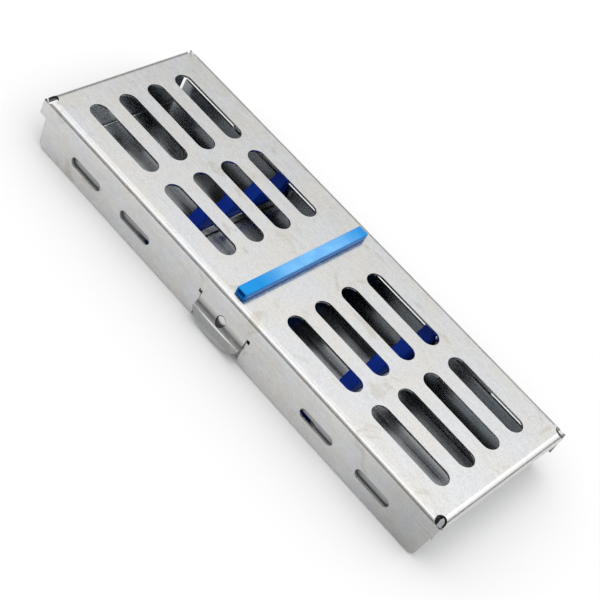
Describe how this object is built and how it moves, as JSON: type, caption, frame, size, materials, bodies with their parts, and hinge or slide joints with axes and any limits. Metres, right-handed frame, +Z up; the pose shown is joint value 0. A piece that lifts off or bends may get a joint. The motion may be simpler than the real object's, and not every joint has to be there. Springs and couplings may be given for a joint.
{
  "type": "instrument cassette",
  "caption": "Hinged stainless steel cassette that holds hand instruments in silicone racks for cleaning and sterilising, with a slotted lid and a spring latch.",
  "frame": {"origin": "on the rest face under the tray's floor, below the middle instrument and midway along the lid", "axes": "+X along the instruments, -Y towards the latch, +Z up out of the lid"},
  "size_m": [0.181, 0.0708, 0.0208],
  "materials": {
    "lid_steel": "satin brushed",
    "tray_steel": "polished",
    "hinge_steel": "satin",
    "bright_steel": "bright",
    "silicone_sky": "smooth silicone",
    "silicone_ultramarine": "smooth silicone"
  },
  "bodies": {
    "tray": {"base_tray": "tray_steel", "latch_button": "bright_steel", "instrument_rack_far": "silicone_ultramarine", "rack_channel_far": "tray_steel", "tray_hinge_leaf_far": "hinge_steel", "hinge_pin_far": "bright_steel", "instrument_rack_near": "silicone_ultramarine", "rack_channel_near": "tray_steel", "tray_hinge_leaf_near": "hinge_steel", "hinge_pin_near": "bright_steel"},
    "lid": {"lid_shell": "lid_steel", "hold_down_strip": "silicone_sky", "lid_hinge_leaf_far": "hinge_steel", "lid_hinge_leaf_near": "hinge_steel"},
    "latch": {"latch_tongue": "lid_steel"}
  },
  "joints": [
    {"name": "lid_hinge", "type": "hinge", "parent": "tray", "child": "lid", "pos_m": [0, 0.0355, 0.009], "axis": [-1, 0, 0], "range_deg": [0, 160]},
    {"name": "latch_flex", "type": "hinge", "parent": "lid", "child": "latch", "pos_m": [0.0003, -0.0311, 0.01055], "axis": [-1, 0, 0], "range_deg": [0, 8], "stiffness_Nm_per_rad": 0.05, "springref_deg": -5.73}
  ]
}
